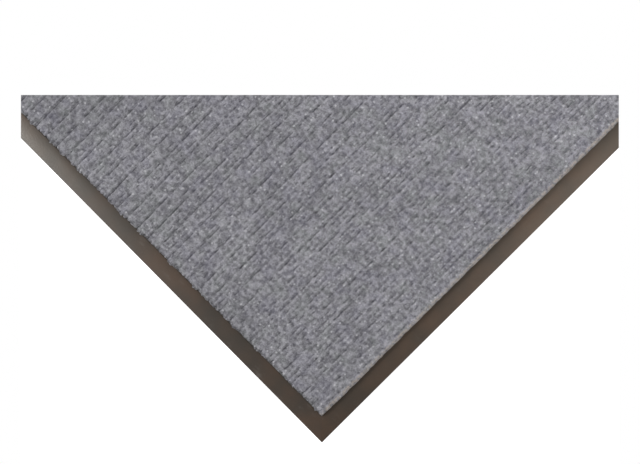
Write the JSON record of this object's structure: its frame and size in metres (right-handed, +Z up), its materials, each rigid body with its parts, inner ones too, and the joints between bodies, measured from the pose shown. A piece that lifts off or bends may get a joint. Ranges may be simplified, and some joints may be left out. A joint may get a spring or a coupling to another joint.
{
  "type": "entrance mat",
  "caption": "Low rectangular entrance mat: ribbed needle-punched carpet on a vinyl backing, framed by mitred, bevelled vinyl edging.",
  "frame": {"origin": "centre of the mat's footprint, at floor level", "axes": "+Z up out of the carpet; +Y along the ribs, the mat's long way; +X across the ribs"},
  "size_m": [0.61, 0.914, 0.0095],
  "materials": {
    "carpet": "matte",
    "scrim": "matte",
    "latex": "satin",
    "backing": "matte",
    "edging": "satin"
  },
  "bodies": {
    "root": {"carpet_face": "carpet", "carpet_scrim": "scrim", "bond_coat": "latex", "backing_sheet": "backing", "front_edging": "edging", "right_edging": "edging", "rear_edging": "edging", "left_edging": "edging"}
  },
  "joints": []
}
